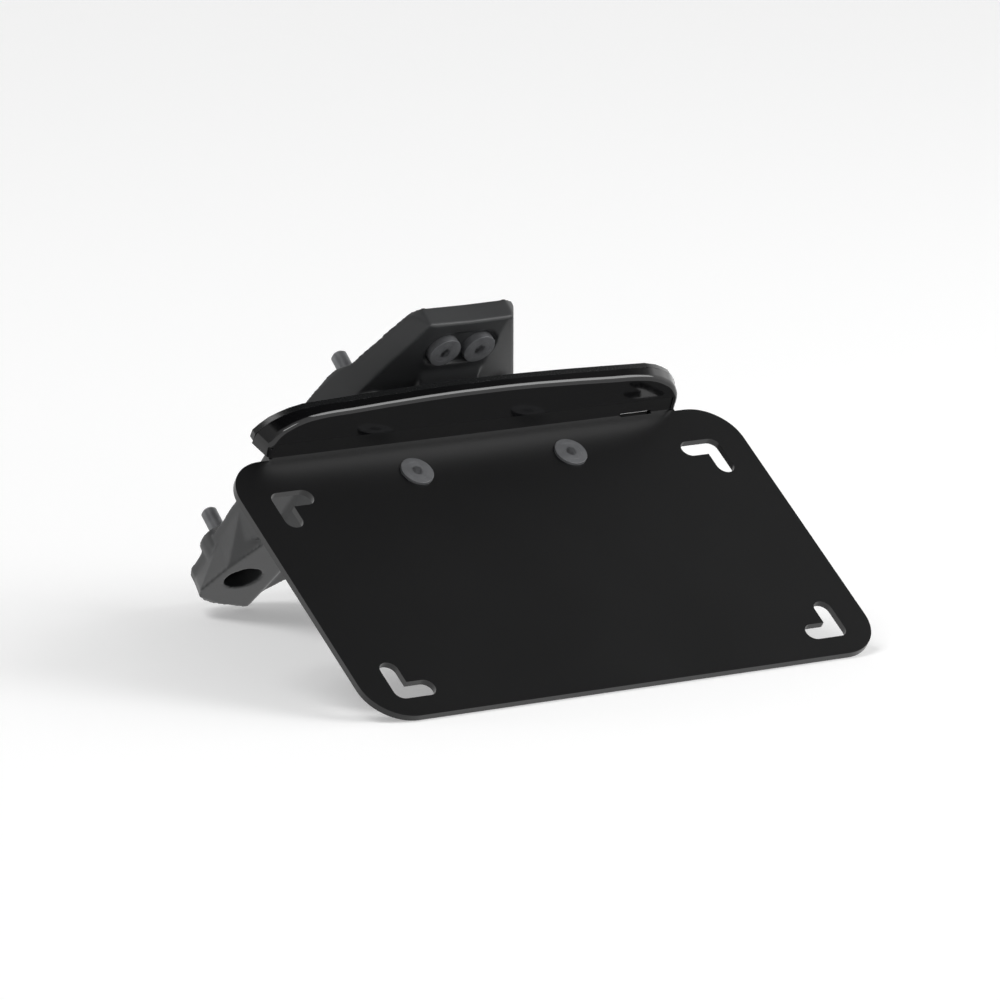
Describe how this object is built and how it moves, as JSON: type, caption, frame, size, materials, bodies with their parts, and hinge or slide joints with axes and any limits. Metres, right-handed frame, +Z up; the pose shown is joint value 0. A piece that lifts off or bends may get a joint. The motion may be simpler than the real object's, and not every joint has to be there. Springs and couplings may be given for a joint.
{
  "type": "motorbike fender eliminator",
  "caption": "Folded number plate carrier with a light bar along its bent lip, held by a moulded tail bracket whose bolts stand up for the tail.",
  "frame": {"origin": "middle of the bounding box on the floor the part lies on", "axes": "+X to the right of someone facing the plate, -Y towards them, +Z up, in the pose the part lies in"},
  "size_m": [0.182, 0.1756, 0.1016],
  "materials": {
    "powder_coated_steel": "satin",
    "filled_nylon": "satin",
    "smoked_lens": "gloss",
    "housing_plastic": "gloss",
    "sealant": "matte",
    "white_board": "satin",
    "led_phosphor": "gloss",
    "resistor_ceramic": "matte",
    "zinc_plate": "satin",
    "connector_nylon": "satin",
    "tinned_brass": "satin",
    "dark_zinc_steel": "satin"
  },
  "bodies": {
    "root": {"plate_bracket": "powder_coated_steel", "tail_bracket": "filled_nylon", "light_lens": "smoked_lens", "light_housing": "housing_plastic", "light_seal": "sealant", "light_circuit_board": "white_board", "plate_light_leds": "led_phosphor", "light_resistors": "resistor_ceramic", "board_screws": "zinc_plate", "lower_bolt_washers": "zinc_plate", "upper_bolt_washers": "zinc_plate", "housing_foot_sleeves": "zinc_plate", "light_connector": "connector_nylon", "connector_pins": "tinned_brass", "plate_screw_inserts": "tinned_brass", "pocket_screw_inserts": "tinned_brass", "lower_mounting_bolts": "dark_zinc_steel", "upper_mounting_bolts": "dark_zinc_steel", "plate_screws": "dark_zinc_steel", "pocket_screws": "dark_zinc_steel"}
  },
  "joints": []
}
